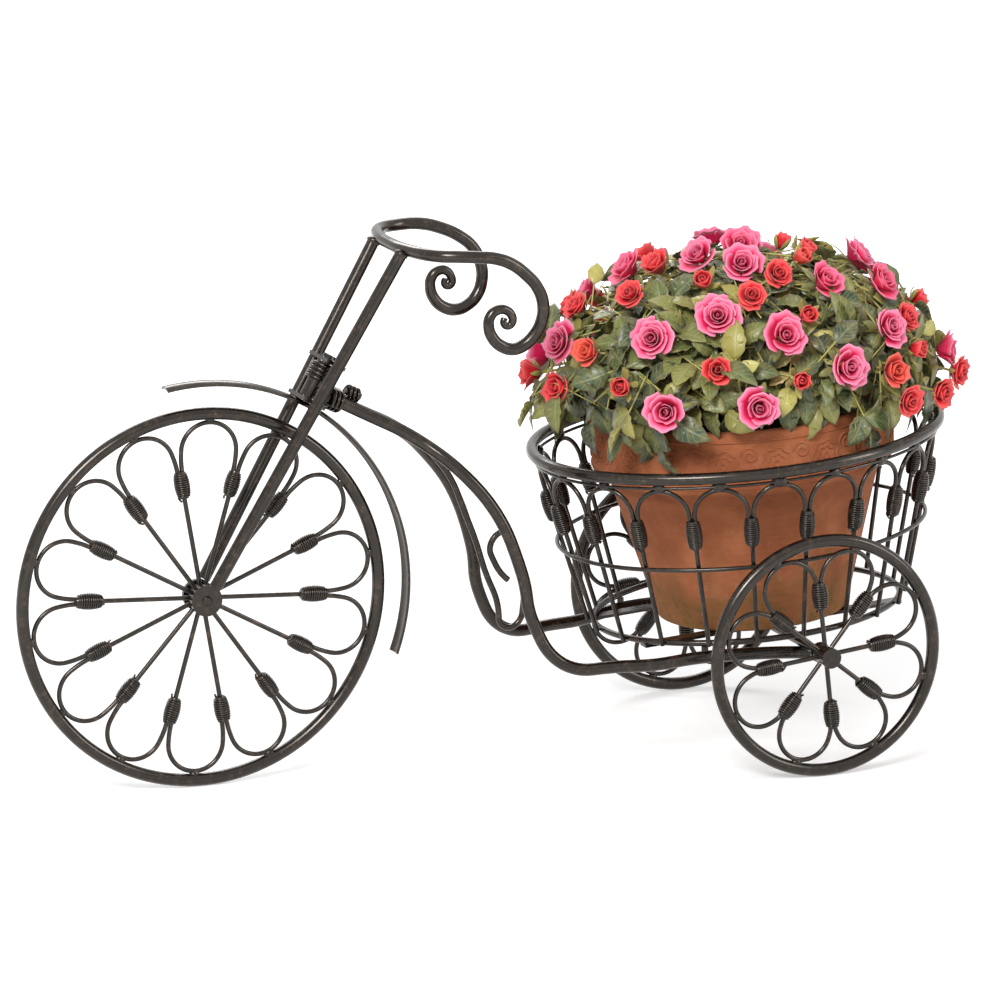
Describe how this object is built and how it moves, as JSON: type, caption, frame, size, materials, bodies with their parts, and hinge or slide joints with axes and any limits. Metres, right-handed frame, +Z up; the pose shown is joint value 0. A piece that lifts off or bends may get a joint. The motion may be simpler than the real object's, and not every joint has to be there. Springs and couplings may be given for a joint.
{
  "type": "bicycle planter",
  "caption": "Wrought-wire tricycle planter: a steering front wheel with fender, scroll handlebar, S-curved frame and an oval wire basket between the rear wheels with a potted rose.",
  "frame": {"origin": "on the ground, under the middle of the overall length and width", "axes": "+X from the front wheel to the basket, +Y across the machine to its right side, +Z up"},
  "size_m": [0.6174, 0.2518, 0.3409],
  "materials": {
    "bronzed_steel": "satin dark bronze enamel with brown worn edges",
    "terracotta": "matte fired clay",
    "potting_soil": "rough",
    "rose_leaves": "soft satin leaf",
    "pink_petals": "soft matte petal",
    "red_petals": "soft matte petal"
  },
  "bodies": {
    "frame": {"steering_sleeve": "bronzed_steel", "frame_tube_left": "bronzed_steel", "frame_tube_right": "bronzed_steel", "centre_scroll": "bronzed_steel", "sleeve_winding": "bronzed_steel", "neck_winding": "bronzed_steel", "knot_rod": "bronzed_steel", "knot_winding": "bronzed_steel", "rear_axle": "bronzed_steel", "axle_caps": "bronzed_steel", "basket_rim": "bronzed_steel", "basket_neck_ring": "bronzed_steel", "basket_mid_ring": "bronzed_steel", "basket_floor_ring": "bronzed_steel", "basket_uprights": "bronzed_steel", "basket_bindings": "bronzed_steel", "basket_arches": "bronzed_steel", "floor_straps": "bronzed_steel", "basket_posts": "bronzed_steel"},
    "fork": {"fork_leg_left": "bronzed_steel", "fork_leg_right": "bronzed_steel", "fork_discs": "bronzed_steel", "front_axle": "bronzed_steel", "fork_plate_lower": "bronzed_steel", "fork_plate_upper": "bronzed_steel", "steering_pin": "bronzed_steel", "handlebar": "bronzed_steel", "front_fender": "bronzed_steel"},
    "front_wheel": {"front_wheel_rim": "bronzed_steel", "front_wheel_hub": "bronzed_steel", "front_wheel_spokes": "bronzed_steel", "front_wheel_petals": "bronzed_steel", "front_wheel_bindings": "bronzed_steel"},
    "rear_wheel_left": {"rear_wheel_left_rim": "bronzed_steel", "rear_wheel_left_hub": "bronzed_steel", "rear_wheel_left_spokes": "bronzed_steel", "rear_wheel_left_petals": "bronzed_steel", "rear_wheel_left_bindings": "bronzed_steel"},
    "rear_wheel_right": {"rear_wheel_right_rim": "bronzed_steel", "rear_wheel_right_hub": "bronzed_steel", "rear_wheel_right_spokes": "bronzed_steel", "rear_wheel_right_petals": "bronzed_steel", "rear_wheel_right_bindings": "bronzed_steel"},
    "potted_rose": {"terracotta_pot": "terracotta", "soil": "potting_soil", "foliage": "rose_leaves", "rose_blooms": "pink_petals", "rose_buds": "red_petals"}
  },
  "joints": [
    {"name": "steering", "type": "hinge", "parent": "frame", "child": "fork", "pos_m": [-0.18773, 0, 0.121], "axis": [0.5, 0, 0.866], "range_deg": [-25, 25]},
    {"name": "front_wheel_spin", "type": "hinge", "parent": "fork", "child": "front_wheel", "pos_m": [-0.18773, 0, 0.121], "axis": [0, 1, 0], "continuous": true},
    {"name": "rear_wheel_left_spin", "type": "hinge", "parent": "frame", "child": "rear_wheel_left", "pos_m": [0.18547, -0.1165, 0.078], "axis": [0, 1, 0], "continuous": true},
    {"name": "rear_wheel_right_spin", "type": "hinge", "parent": "frame", "child": "rear_wheel_right", "pos_m": [0.18547, 0.1165, 0.078], "axis": [0, 1, 0], "continuous": true},
    {"name": "pot_lift", "type": "slide", "parent": "frame", "child": "potted_rose", "axis": [-0.0785, 0, 0.9969], "range_m": [0, 0.15]}
  ]
}
